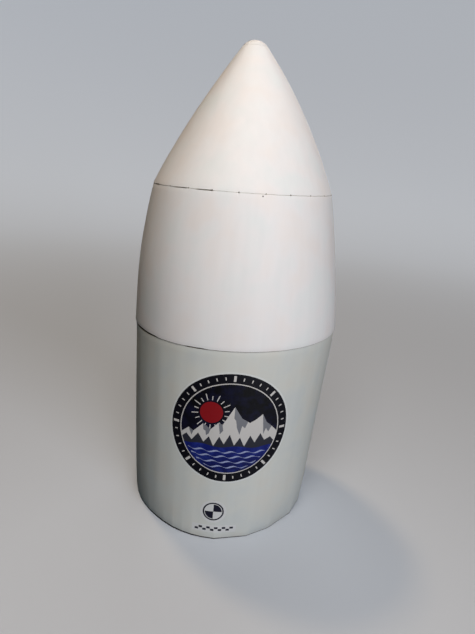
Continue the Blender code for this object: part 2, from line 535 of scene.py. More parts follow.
def turn_between(angle: Array, other: float) -> Array:
    """How far angles are from another one, the short way round."""
    return np.abs((angle - other + math.pi) % math.tau - math.pi)


def level_edge(height: float) -> Edge:
    """An edge that lies at one height all round."""
    return lambda angle: np.full_like(angle, height)


def table_edge(table: AngleTable) -> Edge:
    """Turn a table into a function of the angle round the axis.

    Args:
        table: The table.

    Returns:
        The function, from radians to metres, which closes on itself.
    """
    degrees, values = zip(*table)
    return lambda angle: MM * np.interp(np.degrees(angle), degrees, values, period=360)


def turn_columns(
    step: float, extra: Iterable[float] = (), slit: float = 0.0, apart: float = 1e-4,
) -> Array:
    """The angles of a wall's upright rows of points, once round from the back seam.

    Args:
        step: The usual spacing, in radians.
        extra: Other angles that need a row of their own.
        slit: The angle left open at the seam.
        apart: The least angle between two rows.

    Returns:
        Rising angles from the back seam to the back seam.
    """
    start = BACK_SEAM + slit / 2
    end = BACK_SEAM + math.tau - slit / 2
    even = np.linspace(start, end, math.ceil((end - start) / step) + 1)
    more = [angle for angle in map(from_back, extra) if start < angle < end]
    angles = np.sort([*even, *more])
    return angles[np.concatenate(([True], np.diff(angles) > apart))]


class Face(Enum):
    """The kinds of face on a sheet of card, as the mesh's material numbers."""

    OUTSIDE = 0
    CUT = 1
    INSIDE = 2


@dataclass
class CardSheet:
    """A sheet of card rolled about the Z axis, as one closed solid with eased edges."""

    outline: Outline
    surface: Surface
    columns: Array
    low: Edge
    high: Edge
    card: float
    rows: int
    ease: float = 0.1 * MM
    foot_ease: float = 0.1 * MM

    def rim(self, ease: float) -> Loop:
        """A rounded edge's points, from the outside in.

        Args:
            ease: The rounding's radius.

        Returns:
            Points as (depth into the card, distance from the edge).
        """
        turns = [math.radians(a) for a in (30, 60, 90)]
        near = [(ease * (1 - math.cos(a)), ease * (1 - math.sin(a))) for a in turns]
        return near + [(self.card - depth, rise) for depth, rise in reversed(near)]

    def mesh(self, name: str) -> Mesh:
        """Build the sheet.

        Args:
            name: The mesh's name.

        Returns:
            The mesh, with its faces' kinds as material numbers.
        """
        angle = self.columns[:, None]
        low = self.low(angle)
        high = self.high(angle)
        share = np.linspace(0, 1, self.rows + 1)[None, :]
        heights = low + self.foot_ease + (high - low - self.foot_ease - self.ease) * share
        top_depth, top_drop = np.array(self.rim(self.ease)).T
        foot_depth, foot_rise = np.array(self.rim(self.foot_ease)[::-1]).T
        stretches = (
            (heights, 0.0), (high - top_drop, top_depth),
            (heights[:, ::-1], self.card), (low + foot_rise, foot_depth),
        )
        level = np.concatenate([run for run, _ in stretches], axis=1)
        depth = np.concatenate([np.broadcast_to(deep, run.shape) for run, deep in stretches], axis=1)
        lean = self.outline.slope(level)
        radius = self.surface(np.broadcast_to(angle, level.shape), level) - depth * np.cos(lean)
        place = np.stack(
            [radius * np.cos(angle), radius * np.sin(angle), level - depth * np.sin(lean)], axis=-1,
        )
        return self.skin(name, place, len(top_depth))

    def skin(self, name: str, place: Array, rim_points: int) -> Mesh:
        """Join the points of every column into one closed surface.

        Args:
            name: The mesh's name.
            place: Points by column and by place round the card's section.
            rim_points: The number of points on each rounded edge.

        Returns:
            The mesh.
        """
        columns, around = place.shape[:2]
        last = self.rows
        rim_kinds = [Face.CUT.value] * (rim_points + 1)
        kinds = [Face.OUTSIDE.value] * last + rim_kinds + [Face.INSIDE.value] * last + rim_kinds
        faces = []
        for column in range(columns - 1):
            for step in range(around):
                here = column * around + step
                over = column * around + (step + 1) % around
                faces.append((here, here + around, over + around, over))
        kinds = kinds * (columns - 1)
        for column in (0, columns - 1):
            first = column * around
            inner = first + last + rim_points + 1
            for step in range(last):
                far = inner + last - step
                faces.append((first + step, first + step + 1, far - 1, far))
            faces.append(tuple(range(first + last, inner + 1)))
            faces.append((*range(inner + last, first + around), first))
        kinds += [Face.CUT.value] * (len(faces) - len(kinds))
        mesh = bpy.data.meshes.new(name)
        mesh.from_pydata(place.reshape(-1, 3).tolist(), [], faces)
        mesh.polygons.foreach_set("material_index", kinds)
        return close_mesh(mesh)


@dataclass(frozen=True)
class Drift:
    """How far a hand-glued stack of walls stands aside from the upright axis, by height."""

    heights: tuple[float, ...]
    aside: tuple[float, ...]
    smooth_over: float = 9 * MM
    samples: int = 13

    def shift(self, mesh: Mesh) -> None:
        """Move a mesh's points aside, with the bends between heights rounded off.

        Args:
            mesh: The mesh.
        """
        places = np.empty(len(mesh.vertices) * 3)
        mesh.vertices.foreach_get("co", places)
        places = places.reshape(-1, 3)
        near = places[:, 2:] + self.smooth_over * np.linspace(-1, 1, self.samples)[None, :]
        places[:, 0] += np.interp(near, self.heights, self.aside).mean(axis=1)
        mesh.vertices.foreach_set("co", places.ravel())


STACK_DRIFT = Drift(
    tuple(z * MM for z in (0, 50, 105, 140, 174, 200, 225, 243)),
    tuple(x * MM for x in (-1.1, -0.3, 1.2, -0.25, -0.55, 0.45, 0.75, -0.05)),
)


def close_mesh(mesh: Mesh, crease: float = 35.0) -> Mesh:
    """Turn every face outwards and shade the mesh smooth, apart from its creases.

    Args:
        mesh: A closed mesh.
        crease: The angle in degrees from which an edge stays sharp.

    Returns:
        The same mesh.
    """
    shape = bmesh.new()
    shape.from_mesh(mesh)
    bmesh.ops.recalc_face_normals(shape, faces=shape.faces)
    shape.to_mesh(mesh)
    shape.free()
    mesh.shade_smooth()
    mesh.set_sharp_from_angle(angle=math.radians(crease))
    return mesh


def turned_mesh(name: str, section: Loop, around: int) -> Mesh:
    """Turn a section about the Z axis.

    Args:
        name: The mesh's name.
        section: Points as (radius, height). An end on the axis closes to one point.
        around: The number of points round the axis.

    Returns:
        The mesh.
    """
    places = []
    rings = []
    for radius, height in section:
        count = around if radius else 1
        rings.append(range(len(places), len(places) + count))
        for number in range(count):
            turn = math.tau * number / around
            places.append((radius * math.cos(turn), radius * math.sin(turn), height))
    faces = []
    for lower, upper in zip(rings, rings[1:]):
        for number in range(around):
            after = number + 1
            corners = ((lower, number), (upper, number), (upper, after), (lower, after))
            faces.append(tuple(dict.fromkeys(ring[step % len(ring)] for ring, step in corners)))
    mesh = bpy.data.meshes.new(name)
    mesh.from_pydata(places, [], faces)
    return mesh


def put_in_scene(name: str, data: bpy.types.ID) -> bpy.types.Object:
    """Put a mesh, lamp or camera in the scene as an object.

    Args:
        name: The object's name.
        data: The mesh, lamp or camera.

    Returns:
        The object.
    """
    thing = bpy.data.objects.new(name, data)
    bpy.context.scene.collection.objects.link(thing)
    return thing


def add_piece(
    name: str,
    mesh: Mesh,
    materials: Sequence[Material],
    body: Body,
    stands_for: Sequence[str] = (),
) -> Piece:
    """Put a mesh in the scene as one piece of the model.

    Args:
        name: The piece's name.
        mesh: Its mesh, in place.
        materials: Its materials, in the order of the mesh's material numbers.
        body: The body that it rides on.
        stands_for: The CAD nodes that it replaces.

    Returns:
        The piece.
    """
    for material in materials:
        mesh.materials.append(material)
    STACK_DRIFT.shift(mesh)
    piece = put_in_scene(name, mesh)
    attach(piece, body.value)
    if stands_for:
        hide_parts(*stands_for)
    return piece


# The seams between the walls


@dataclass(frozen=True)
class Seam:
    """The thin open line where two walls meet, a little wider in some places than in others.

    The walls were cut slightly askew, so the line is highest on the +X side by its tilt.
    """

    height: float
    tilt: float
    width_table: AngleTable
    nicks: tuple[float, ...] = ()
    nick_half: float = math.radians(0.38)
    nick_height: float = 0.56 * MM
    nick_share_below: float = 0.35
    wobble: Unevenness = Unevenness(0.05 * MM, (23, 37, 61))

    def nick(self, angle: Array) -> Array:
        """The height of the small round nicks in the seam.

        Args:
            angle: Angles round the axis.

        Returns:
            Heights in metres, zero between the nicks.
        """
        total = np.zeros_like(angle)
        for nick in self.nicks:
            share = turn_between(angle, nick) / self.nick_half
            total = total + self.nick_height * np.sqrt(np.clip(1 - share ** 2, 0, 1))
        return total

    def line(self, angle: Array) -> Array:
        """The height of the seam's middle."""
        return self.height + self.tilt * np.cos(angle) + self.wobble.at(angle, np.zeros(1))

    def half_gap(self, angle: Array) -> Array:
        """Half of the seam's width."""
        return table_edge(self.width_table)(angle) / 2

    def lower_edge(self, angle: Array) -> Array:
        """The height of the edge below the seam."""
        return self.line(angle) - self.half_gap(angle) - self.nick_share_below * self.nick(angle)

    def upper_edge(self, angle: Array) -> Array:
        """The height of the edge above the seam."""
        return self.line(angle) + self.half_gap(angle) + (1 - self.nick_share_below) * self.nick(angle)

    def nick_columns(self) -> list[float]:
        """The angles at which a wall needs points of its own for the nicks."""
        shares = (-1.0, -0.75, -0.4, 0.0, 0.4, 0.75, 1.0)
        return [nick + share * self.nick_half for nick in self.nicks for share in shares]


@dataclass
class Seams:
    """Both seams, with their heights from the frame."""

    lower_gaps: AngleTable = (
        (-180, 0.80), (-168, 1.10), (-161, 1.40), (-148, 1.40), (-136, 1.05), (-131, 0.34),
        (-116, 0.28), (-113, 0.66), (-105, 0.60), (-102, 0.28), (-88, 0.22), (-60, 0.16), (-20, 0.18),
        (40, 0.26), (90, 0.36), (140, 0.40),
    )
    upper_gaps: AngleTable = (
        (-180, 0.10), (-160, 0.16), (-157, 0.46), (-151, 0.42), (-149, 0.14), (-134, 0.12),
        (-132, 0.36), (-124, 0.34), (-122.5, 0.12), (-117.5, 0.12), (-116, 0.36), (-112, 0.40),
        (-108, 0.48), (-106, 0.06), (-94, 0.05), (-90, 0.07), (-78, 0.05), (-74, 0.08), (-62, 0.08),
        (-47, 0.08), (-38, 0.10), (-20, 0.12), (60, 0.12), (120, 0.14),
    )
    lower_tilt: float = 1.65 * MM
    upper_tilt: float = 0.50 * MM
    first_nick: float = math.radians(-92.1)
    nick_count: int = 24
    upper_wobble: Unevenness = Unevenness(0.08 * MM, (17, 29, 53))

    @cached_property
    def lower(self) -> Seam:
        """The seam that the cover parts at.

        Returns:
            The seam.
        """
        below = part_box("lower_wall")[1].z
        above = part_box("middle_wall")[0].z
        return Seam((below + above) / 2, self.lower_tilt, self.lower_gaps)

    @cached_property
    def upper(self) -> Seam:
        """The glued seam between the middle wall and the nose, nicked at each tab of its ring.

        Returns:
            The seam.
        """
        middle = Outline.of_node("middle_wall").heights[-1]
        nose = Outline.of_node("nose_wall").heights[0]
        turn = math.tau / self.nick_count
        nicks = tuple(self.first_nick + number * turn for number in range(self.nick_count))
        return Seam((middle + nose) / 2, self.upper_tilt, self.upper_gaps, nicks, wobble=self.upper_wobble)


# Plain card inside the walls


@dataclass
class InnerCard:
    """A piece of thin plain card inside a wall, built over its CAD solid."""

    node: str
    body: Body
    card: float = 0.5 * MM
    bends: bool = False

    @cached_property
    def outline(self) -> Outline:
        """Its outline, from the frame."""
        return Outline.of_node(self.node, self.bends)

    def radius(self, angle: Array, height: Array) -> Array:
        """Its outer radius, the same all round."""
        return self.outline.radius(height)

    def sheet(self) -> CardSheet:
        """The sheet of card that it is cut from."""
        raise NotImplementedError

    def build(self, side: Material, edge: Material) -> Piece:
        """Build and dress the piece.

        Args:
            side: The finish of both of its sides.
            edge: The finish of its cut edges.

        Returns:
            The piece.
        """
        name = f"{self.node}_card"
        return add_piece(
            name, self.sheet().mesh(name), (side, edge, side), self.body, [self.node],
        )


@dataclass
class Ring(InnerCard):
    """A plain ring of thin card inside a wall, open by a hair where its ends meet."""

    slit: float = 0.3 * MM
    rows: int = 10
    step: float = math.radians(1.5)

    def sheet(self) -> CardSheet:
        """The ring's sheet, from end to end of its CAD solid.

        Returns:
            The sheet.
        """
        low, *_, high = self.outline.heights
        columns = turn_columns(self.step, slit=self.slit / self.outline.radii[0])
        return CardSheet(
            self.outline, self.radius, columns, level_edge(low), level_edge(high), self.card, self.rows,
        )


@dataclass
class BackStrip(InnerCard):
    """The glue strip behind a wall's upright seam, with its corners clipped."""

    bends: bool = True
    clip: float = 2.5 * MM
    columns: int = 16
    rows: int = 24

    def sheet(self) -> CardSheet:
        """The strip's sheet, as wide as its CAD solid.

        Returns:
            The sheet.
        """
        low, *_, high = self.outline.heights
        left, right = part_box(self.node)
        half = (right.x - left.x) / 2 / self.outline.radii[0]
        angles = BACK_SEAM + half * np.linspace(-1, 1, self.columns + 1)

        def clipped(angle: Array) -> Array:
            """How far the strip's end steps back at an angle."""
            to_side = (half - np.abs(angle - BACK_SEAM)) * self.outline.radii[0]
            return np.clip(self.clip - to_side, 0, None)

        return CardSheet(
            self.outline, self.radius, angles,
            lambda angle: low + clipped(angle), lambda angle: high - clipped(angle), self.card, self.rows,
        )


@dataclass(kw_only=True)
class JoiningRing(InnerCard):
    """The ring inside the upper seam, cut above it into tabs that bend in with the nose."""

    seam: Seam
    notch_root: float = 0.8 * MM
    notch_width: float = 3.0 * MM
    root_width: float = 1.1 * MM
    rows: int = 14
    step: float = math.radians(2.0)
    ease: float = 0.06 * MM

    def sheet(self) -> CardSheet:
        """The ring's sheet, with its notches cut.

        Returns:
            The sheet.
        """
        low, *_, high = self.outline.heights
        half = self.notch_width / 2 / self.outline.radii[-1]
        flat = self.root_width / 2 / self.outline.radii[-1]

        def top(angle: Array) -> Array:
            """The height of the ring's top, down at each notch.

            Args:
                angle: Angles round the axis.

            Returns:
                Heights in metres.
            """
            height = np.full_like(angle, high)
            root = self.seam.line(angle) - self.notch_root
            for nick in self.seam.nicks:
                share = np.clip((turn_between(angle, nick) - flat) / (half - flat), 0, 1)
                height = np.minimum(height, root + (high - root) * share)
            return height

        extra = [nick + turn for nick in self.seam.nicks for turn in (-half, -flat, flat, half)]
        columns = turn_columns(self.step, extra, self.card / self.outline.radii[0])
        return CardSheet(
            self.outline, self.radius, columns, level_edge(low), top, self.card, self.rows, self.ease,
        )


# The base


@dataclass
class LowerWall:
    """The flared lower wall, whose foot has a flat for each tab."""

    seam: Seam
    card: float = 0.6 * MM
    foot_radius: float = 49.5 * MM
    flat_fade: float = 22 * MM
    # Where the foot's tabs fold at the front, and how its outline runs there: round on the left, and
    # in clear flats from the middle to the right.
    seen_folds: tuple[float, ...] = (
        -162.5, -147.0, -131.6, -117.0, -104.0, -90.2, -70.4, -54.0, -31.2, -14.4,
    )
    seen_outline: AngleTable = (
        (-170, 49.1), (-162, 48.8), (-154, 48.7), (-147, 48.5), (-139.5, 48.5), (-132, 48.55),
        (-124.5, 48.95), (-117, 49.5), (-110.5, 49.8), (-104, 50.1), (-97.5, 50.2), (-90.2, 50.4),
        (-70.4, 49.2), (-54.0, 48.0), (-31.2, 48.1), (-14.4, 48.7),
    )
    # The wall ends this far above the floor. Below it the tabs' fold shows as a near-black band, painted
    # shade for the dark line at the foot.
    foot_lift: AngleTable = (
        (-180, 0.90), (-165, 1.20), (-125, 1.10), (-105, 0.75), (-90, 0.50), (-60, 0.30), (0, 0.25),
        (90, 0.30), (150, 0.60),
    )
    fold_inset: float = 0.10 * MM
    fold_card: float = 0.50 * MM
    fold_gap: float = 0.03 * MM
    corner_count: int = 22
    # The least angle in degrees between two corners of the outline.
    corner_spacing: float = 5.0
    slit: float = 0.16 * MM
    rows: int = 30
    step: float = math.radians(1.0)
    ease: float = 0.06 * MM
    fold_ease: float = 0.02 * MM
    # The ring at the top and the folds at the foot hold the card nearly round.
    calm_height: float = 8 * MM
    calm_share: float = 0.2
    unevenness: Unevenness = Unevenness(0.11 * MM, (7, 12, 19, 31), twist=3.0)

    @cached_property
    def outline(self) -> Outline:
        """The wall's straight outline, from the foot's mean radius up past the frame's top radius.

        Returns:
            The outline.
        """
        top = Outline.of_node("lower_wall")
        spare = 4 * MM
        flare = (top.radii[-1] - self.foot_radius) / top.heights[-1]
        return Outline((0.0, top.heights[-1] + spare), (self.foot_radius, top.radii[-1] + flare * spare))

    @cached_property
    def hidden_folds(self) -> Array:
        """The angles in degrees of the folds that the front doesn't show, at even spaces."""
        hidden = self.corner_count - len(self.seen_folds)
        return np.linspace(self.seen_folds[-1], self.seen_folds[0] + 360, hidden + 2)[1:-1]

    @cached_property
    def folds(self) -> Array:
        """The angles of the folds between the foot's tabs, once round from the back seam."""
        return np.sort(from_back(np.radians([*self.seen_folds, *self.hidden_folds])))

    @cached_property
    def foot_corners(self) -> Array:
        """The corners of the foot's outline.

        Returns:
            Rows of (angle, radius), once round from the back seam.
        """
        mean = math.sin(math.pi / self.corner_count) / (math.pi / self.corner_count)
        last = self.seen_outline[0][0] + 360 - self.corner_spacing
        rows = np.array(
            [(fold, radius * MM) for fold, radius in self.seen_outline]
            + [(fold, self.foot_radius / mean) for fold in self.hidden_folds if fold < last]
        )
        rows[:, 0] = from_back(np.radians(rows[:, 0]))
        return rows[np.argsort(rows[:, 0])]

    def foot_line(self, angle: Array) -> Array:
        """The radius of the foot's outline, straight from corner to corner.

        Args:
            angle: Angles round the axis.

        Returns:
            Radii in metres.
        """
        before = self.foot_corners[-1:] - [[math.tau, 0.0]]
        beyond = self.foot_corners[:1] + [[math.tau, 0.0]]
        ends = np.concatenate((before, self.foot_corners, beyond))
        x, y = ends[:, 1] * np.cos(ends[:, 0]), ends[:, 1] * np.sin(ends[:, 0])
        turned = from_back(angle)
        after = np.clip(np.searchsorted(ends[:, 0], turned, side="right"), 1, len(ends) - 1)
        run_x, run_y = x[after] - x[after - 1], y[after] - y[after - 1]
        across = x[after - 1] * run_y - y[after - 1] * run_x
        return across / (np.cos(turned) * run_y - np.sin(turned) * run_x)

    def radius(self, angle: Array, height: Array) -> Array:
        """The wall's outer radius.

        Args:
            angle: Angles round the axis.
            height: Heights.

        Returns:
            Radii in metres.
        """
        share = np.clip(1 - height / self.flat_fade, 0, 1) ** 2
        flat = 1 + share * (self.foot_line(angle) / self.foot_radius - 1)
        below = np.clip((self.seam.height - height) / self.calm_height, self.calm_share, 1)
        calm = np.clip(height / self.flat_fade, 0, 1) * below
        return self.outline.radius(height) * flat + calm * self.unevenness.at(angle, height)

    @cached_property
    def columns(self) -> Array:
        """The angles of the wall's upright rows of points."""
        return turn_columns(self.step, self.foot_corners[:, 0], self.slit / self.foot_radius)

    def build(self, materials: dict[str, Material]) -> Piece:
        """Build and dress the wall.

        Args:
            materials: The finishes by name.

        Returns:
            The piece.
        """
        sheet = CardSheet(
            self.outline, self.radius, self.columns, table_edge(self.foot_lift),
            self.seam.lower_edge, self.card, self.rows, self.ease,
        )
        name = "lower_wall_card"
        dress = (materials["grey_print"], materials["cut_edge"], materials["card_back"])
        return add_piece(name, sheet.mesh(name), dress, Body.BASE, ["lower_wall"])

    def build_fold(self, material: Material) -> Piece:
        """Build the tabs' folded edge, a low band under the wall whose near-black finish is painted shade.

        Args:
            material: The near-black finish, painted shade for the dark line under the wall.

        Returns:
            The piece.
        """
        lift = table_edge(self.foot_lift)
        sheet = CardSheet(
            self.outline, lambda angle, height: self.radius(angle, height) - self.fold_inset, self.columns,
            level_edge(0.0), lambda angle: lift(angle) - self.fold_gap, self.fold_card, rows=1,
            ease=self.fold_ease, foot_ease=self.fold_ease,
        )
        name = "foot_fold_painted_shade"
        return add_piece(name, sheet.mesh(name), (material,) * len(Face), Body.BASE)


@dataclass
class Foot:
    """What closes the foot: the wall's tabs, folded inwards, and the board plate on top of them."""

    wall: LowerWall
    tab_length: float = 8.5 * MM
    tab_taper: float = math.radians(2.2)
    tab_root: float = math.radians(0.35)
    overlap: float = 0.72 * MM
    plate_space: float = 0.3 * MM
    ease: float = 0.07 * MM

    def spans(self) -> list[tuple[float, float]]:
        """The fold angles at both ends of every tab."""
        folds = list(self.wall.folds)
        return list(zip(folds, folds[1:] + [folds[0] + math.tau]))

    def inward(self, start: float, end: float, depth: float, inset: float = 0.0, steps: int = 3) -> Loop:
        """A line along the foot's outline, some way in from it.

        Args:
            start: The first fold's angle.
            end: The second fold's angle.
            depth: How far in the line lies.
            inset: The angle by which it stops short of each fold.
            steps: The number of stretches that it is parted into.

        Returns:
            The line's points.
        """
        turns = np.linspace(start + inset, end - inset, steps + 1)
        away = self.wall.foot_line(turns) - depth
        return list(zip((away * np.cos(turns)).tolist(), (away * np.sin(turns)).tolist()))

    def slabs(self, name: str, outlines: list[Loop], low: float, high: float) -> Mesh:
        """Cut flat pieces of card or board, with eased edges.

        Args:
            name: The mesh's name.
            outlines: Each one's outline, anticlockwise from above.
            low: Their underside's height.
            high: Their upper side's height.

        Returns:
            The mesh.
        """
        shape = bmesh.new()
        for outline in outlines:
            rings = [[shape.verts.new((x, y, z)) for x, y in outline] for z in (low, high)]
            shape.faces.new(reversed(rings[0]))
            shape.faces.new(rings[1])
            for number in range(len(outline)):
                after = (number + 1) % len(outline)
                shape.faces.new((rings[0][number], rings[0][after], rings[1][after], rings[1][number]))
        bmesh.ops.bevel(
            shape, geom=shape.edges[:], offset=self.ease, segments=2, profile=0.5, affect="EDGES",
        )
        mesh = bpy.data.meshes.new(name)
        shape.to_mesh(mesh)
        shape.free()
        return close_mesh(mesh)

    def tabs(self, material: Material) -> Piece:
        """Build the ring of tabs.

        Args:
            material: The card's back.

        Returns:
            The piece.
        """
        outlines = []
        for start, end in self.spans():
            root = self.inward(start, end, self.overlap, self.tab_root)
            tip = self.inward(start, end, self.wall.card + self.tab_length, self.tab_taper)
            outlines.append([*root, *reversed(tip)])
        name = "base_tab_ring"
        mesh = self.slabs(name, outlines, 0.0, self.wall.card)
        return add_piece(name, mesh, (material,), Body.BASE, ["base_tabs"])

    def plate(self, material: Material) -> Piece:
        """Build the board plate, cut to the foot's flats.

        Args:
            material: The grey board.

        Returns:
            The piece.
        """
        low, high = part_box("base_plate")
        inset = self.wall.card + self.plate_space
        outline = [point for start, end in self.spans() for point in self.inward(start, end, inset)[:-1]]
        name = "foot_board"
        mesh = self.slabs(name, [outline], low.z, high.z)
        return add_piece(name, mesh, (material,), Body.BASE, ["base_plate"])


@dataclass
class Base:
    """The lower half: its wall, foot, collar and inner strip."""

    seams: Seams

    @cached_property
    def wall(self) -> LowerWall:
        """The lower wall."""
        return LowerWall(self.seams.lower)

    def build(self, materials: dict[str, Material]) -> list[Piece]:
        """Build the base's pieces.

        Args:
            materials: The finishes by name.

        Returns:
            The pieces.
        """
        foot = Foot(self.wall)
        edge = materials["cut_edge"]
        return [
            self.wall.build(materials),
            # The foot's near-black band is painted shade for the dark line under the wall.
            self.wall.build_fold(materials["foot_painted_shade"]),
            foot.tabs(materials["card_back"]),
            foot.plate(materials["grey_board"]),
            # The collar's dark finish is painted shade seen through the lower seam.
            Ring("neck_collar", Body.BASE).build(materials["collar_card"], edge),
            BackStrip("lower_back_strip", Body.BASE).build(materials["strip_card"], edge),
        ]


# The cover


@dataclass
class CoverWall:
    """One of the cover's two rolled walls."""

    node: str
    low: Edge
    high: Edge
    extra_columns: list[float]
    card: float = 0.6 * MM
    slit: float = 0.14 * MM
    rows: int = 30
    step: float = math.radians(1.0)
    ease: float = 0.05 * MM
    calm_height: float = 10 * MM
    unevenness: Unevenness = Unevenness(0.05 * MM, (5, 9, 14), twist=6.0)

    @cached_property
    def outline(self) -> Outline:
        """The wall's outline, from the frame."""
        return Outline.of_node(self.node, bends=True)

    def radius(self, angle: Array, height: Array) -> Array:
        """The wall's outer radius, true to the frame at both ends.

        Args:
            angle: Angles round the axis.
            height: Heights.

        Returns:
            Radii in metres.
        """
        low, *_, high = self.outline.heights
        calm = np.clip(np.minimum(height - low, high - height) / self.calm_height, 0, 1)
        return self.outline.radius(height) + calm * self.unevenness.at(angle, height)

    def build(self, materials: dict[str, Material]) -> Piece:
        """Build and dress the wall.

        Args:
            materials: The finishes by name.

        Returns:
            The piece.
        """
        columns = turn_columns(self.step, self.extra_columns, self.slit / self.outline.radii[0])
        sheet = CardSheet(
            self.outline, self.radius, columns, self.low, self.high, self.card, self.rows,
            self.ease, self.ease,
        )
        dress = (materials["white_card"], materials["cut_edge"], materials["card_back"])
        name = f"{self.node}_card"
        return add_piece(name, sheet.mesh(name), dress, Body.COVER, [self.node])


@dataclass
class NoseTip:
    """The rounded tip, glued in the nose's top and sanded flush with it."""

    ease: float = 0.35 * MM
    plug_length: float = 6 * MM
    plug_inset: float = 1.5 * MM
    joint_gap: float = 0.01 * MM
    dome_steps: int = 16
    around: int = 96

    def section(self) -> Loop:
        """The tip's outline as (radius, height), from the plug's end up to the top.

        Returns:
            Points in order.
        """
        nose = Outline.of_node("nose_wall", True)
        shoulder = nose.radii[-1]
        base = nose.heights[-1] + self.joint_gap
        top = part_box("nose_tip")[1].z
        rise = top - base
        ball = (shoulder ** 2 + rise ** 2) / (2 * rise)
        start = math.acos(shoulder / ball)
        centre = top - ball
        inside = shoulder - self.plug_inset
        end = base - self.plug_length
        points = [(0.0, end), (inside - self.ease, end), (inside, end + self.ease), (inside, base)]
        for step in range(self.dome_steps):
            turn = start + (math.pi / 2 - start) * step / self.dome_steps
            points.append((ball * math.cos(turn), centre + ball * math.sin(turn)))
        return [*points, (0.0, top)]

    def build(self, material: Material) -> Piece:
        """Build and dress the tip.

        Args:
            material: The white card's finish.

        Returns:
            The piece.
        """
        name = "nose_tip_plug"
        mesh = close_mesh(turned_mesh(name, self.section(), self.around))
        return add_piece(name, mesh, (material,), Body.COVER, ["nose_tip"])


@dataclass
class Cover:
    """The upper half that lifts off: two walls, the tip, and the ring and strips inside."""

    seams: Seams

    def build(self, materials: dict[str, Material]) -> list[Piece]:
        """Build the cover's pieces.

        Args:
            materials: The finishes by name.

        Returns:
            The pieces.
        """
        lower, upper = self.seams.lower, self.seams.upper
        nose_top = Outline.of_node("nose_wall").heights[-1]
        middle = CoverWall("middle_wall", lower.upper_edge, upper.lower_edge, upper.nick_columns())
        nose = CoverWall("nose_wall", upper.upper_edge, level_edge(nose_top), upper.nick_columns())
        inner = (
            JoiningRing("joining_ring", Body.COVER, seam=upper),
            BackStrip("middle_back_strip", Body.COVER),
            BackStrip("nose_back_strip", Body.COVER),
        )
        return [
            middle.build(materials),
            nose.build(materials),
            NoseTip().build(materials["white_card"]),
            *(part.build(materials["strip_card"], materials["cut_edge"]) for part in inner),
        ]


# Printed artwork


def arc(radius: float, start: float, turn: float, steps: int, centre: Point = (0.0, 0.0)) -> Loop:
    """Points along an arc, both ends included.

    Args:
        radius: Its radius.
        start: The angle that it starts at.
        turn: The angle that it covers.
        steps: The number of stretches between its points.
        centre: Its centre on the flat sheet.

    Returns:
        The points.
    """
    angles = [start + turn * step / steps for step in range(steps + 1)]
    return [(centre[0] + radius * math.cos(a), centre[1] + radius * math.sin(a)) for a in angles]


def circle(radius: float, centre: Point = (0.0, 0.0), steps: int = 96) -> Loop:
    """Points once round a circle."""
    return arc(radius, 0.0, math.tau, steps, centre)[:-1]


def radial_bar(
    turn: float, inner: float, outer: float, width: float, centre: Point = (0.0, 0.0),
) -> Loop:
    """A short bar that points away from a centre.

    Args:
        turn: Its direction.
        inner: Where it starts, from the centre.
        outer: Where it ends.
        width: Its width.
        centre: The centre.

    Returns:
        The loop.
    """
    along = (math.cos(turn), math.sin(turn))
    across = (-along[1] * width / 2, along[0] * width / 2)
    corners = ((inner, -1), (outer, -1), (outer, 1), (inner, 1))
    return [
        (centre[0] + along[0] * out + across[0] * side, centre[1] + along[1] * out + across[1] * side)
        for out, side in corners
    ]


def rectangle(left: float, low: float, right: float, high: float) -> Loop:
    """The four corners of an upright rectangle."""
    return [(left, low), (right, low), (right, high), (left, high)]


@dataclass(frozen=True)
class Line:
    """A line across the badge: its height at each of some places, with an even ripple if wanted."""

    across: tuple[float, ...]
    heights: tuple[float, ...]
    ripple: float = 0.0
    ripple_length: float = 1.0
    ripple_start: float = 0.0

    @classmethod
    def of_points(cls, *points: Point) -> "Line":
        """A line through points given in millimetres."""
        across, heights = zip(*points)
        return cls(tuple(x * MM for x in across), tuple(y * MM for y in heights))

    def at(self, place: Array) -> Array:
        """The line's height at some places across."""
        wave = np.sin((place - self.ripple_start) / self.ripple_length * math.tau)
        return np.interp(place, self.across, self.heights) + self.ripple * wave


def band(top: Line, bottom: Line, radius: float, steps: int = 280) -> list[list[Loop]]:
    """The area between two lines inside a circle.

    Args:
        top: The upper line.
        bottom: The lower line.
        radius: The circle's radius.
        steps: How many places across are tried.

    Returns:
        A shape of one loop for each stretch where the upper line is above the lower one.
    """
    thinnest = 0.02 * MM
    knots = [x for x in (*top.across, *bottom.across) if abs(x) < radius]
    across = np.unique(np.concatenate((np.linspace(-radius, radius, steps), knots)))
    chord = np.sqrt(np.clip(radius ** 2 - across ** 2, 0, None))
    high = np.minimum(top.at(across), chord)
    low = np.maximum(bottom.at(across), -chord)
    shapes = []
    run: list[int] = []
    for number in range(len(across) + 1):
        if number < len(across) and high[number] - low[number] > thinnest:
            run.append(number)
            continue
        if len(run) > 2:
            upper = [(float(across[i]), float(high[i])) for i in reversed(run)]
            shapes.append([[(float(across[i]), float(low[i])) for i in run] + upper])
        run = []
    return shapes


